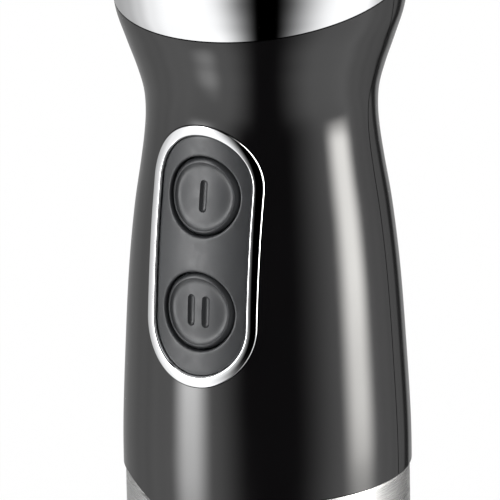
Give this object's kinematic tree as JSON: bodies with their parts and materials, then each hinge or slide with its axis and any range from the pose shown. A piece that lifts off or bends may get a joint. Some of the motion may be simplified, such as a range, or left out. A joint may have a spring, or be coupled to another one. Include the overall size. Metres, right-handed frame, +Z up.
{
  "type": "immersion blender",
  "caption": "Hand-held blender: waisted gloss handle with chrome cap, framed button panel and top dial, on a detachable steel foot with a bell-shaped blade guard.",
  "frame": {"origin": "on the table, under the middle of the bell guard's rim", "axes": "+Z up along the handle's axis, front (button panel) towards -Y, +X to the right of the front"},
  "size_m": [0.066, 0.066, 0.3695],
  "materials": {
    "steel": "fine circular brushing",
    "bright_steel": "ground",
    "gloss_shell": "high gloss",
    "chrome": "mirror",
    "matt_control": "fine matt, soft to the touch",
    "crown_plastic": "satin",
    "inner_plastic": "moulded",
    "bronze": "sintered",
    "rubber": "matt",
    "lamination": "stacked sheet",
    "copper": "enamelled wire",
    "carbon": "pressed carbon",
    "board": "coated board",
    "aluminium": "machined",
    "capacitor": "boxed film"
  },
  "bodies": {
    "foot": {"bell_guard": "steel", "foot_tube": "steel", "foot_collar": "steel", "foot_coupling_insert": "inner_plastic", "foot_lower_bush": "bronze", "foot_upper_bush": "bronze", "shaft_seal": "rubber"},
    "blade_shaft": {"drive_shaft": "bright_steel", "driven_coupler": "inner_plastic", "blade": "bright_steel", "blade_nut": "bright_steel", "blade_spacer": "bright_steel", "shaft_circlip": "bright_steel"},
    "motor_unit": {"sleeve": "steel", "front_shell": "gloss_shell", "rear_shell": "gloss_shell", "chrome_cap": "chrome", "crown": "crown_plastic", "button_panel": "matt_control", "panel_bezel": "chrome", "shell_screw_1": "bright_steel", "shell_screw_2": "bright_steel", "shell_screw_3": "bright_steel", "shell_screw_4": "bright_steel", "control_board": "board", "switch_low": "inner_plastic", "switch_high": "inner_plastic", "heat_sink": "aluminium", "capacitor": "capacitor", "coupling_nose": "inner_plastic", "lower_bracket": "aluminium", "upper_bracket": "inner_plastic", "stator_core": "lamination", "field_coil_right": "copper", "field_coil_left": "copper", "motor_mount_ring": "rubber", "lower_bearing": "bright_steel", "upper_bearing": "bright_steel", "brush_holder_rear": "bronze", "brush_holder_front": "bronze", "carbon_brush_rear": "carbon", "carbon_brush_front": "carbon", "brush_spring_rear": "bright_steel", "brush_spring_front": "bright_steel", "potentiometer": "inner_plastic", "cord_inlet_gland": "rubber"},
    "rotor": {"rotor_shaft": "bright_steel", "armature_core": "lamination", "winding_upper": "copper", "winding_lower": "copper", "commutator": "copper", "cooling_fan": "inner_plastic", "drive_coupler": "inner_plastic"},
    "dial": {"speed_dial": "matt_control", "dial_shaft": "aluminium"},
    "low_button": {"button_low": "matt_control"},
    "high_button": {"button_high": "matt_control"},
    "release": {"release_button": "matt_control", "latch_plate": "bright_steel", "release_spring": "bright_steel"}
  },
  "joints": [
    {"name": "handle_lift", "type": "slide", "parent": "foot", "child": "motor_unit", "axis": [0, 0, 1], "range_m": [0, 0.035]},
    {"name": "rotor_spin", "type": "hinge", "parent": "motor_unit", "child": "rotor", "pos_m": [0, 0, 0.24], "axis": [0, 0, 1], "continuous": true},
    {"name": "blade_spin", "type": "hinge", "parent": "foot", "child": "blade_shaft", "pos_m": [0, 0, 0.1], "axis": [0, 0, 1], "continuous": true},
    {"name": "button_low_press", "type": "slide", "parent": "motor_unit", "child": "low_button", "axis": [0, 0.9875, -0.1578], "range_m": [0, 0.0015], "stiffness_N_per_m": 400, "springref_m": -0.001},
    {"name": "button_high_press", "type": "slide", "parent": "motor_unit", "child": "high_button", "axis": [0, 0.9973, -0.0733], "range_m": [0, 0.0015], "stiffness_N_per_m": 400, "springref_m": -0.001},
    {"name": "release_press", "type": "slide", "parent": "motor_unit", "child": "release", "axis": [0, 1, 0], "range_m": [0, 0.002], "stiffness_N_per_m": 500, "springref_m": -0.002},
    {"name": "dial_turn", "type": "hinge", "parent": "motor_unit", "child": "dial", "pos_m": [0, 0, 0.36], "axis": [0, 0, -1], "range_deg": [0, 270]}
  ],
  "couplings": [
    {"joint": "blade_spin", "follows": "rotor_spin", "ratio": 1}
  ]
}
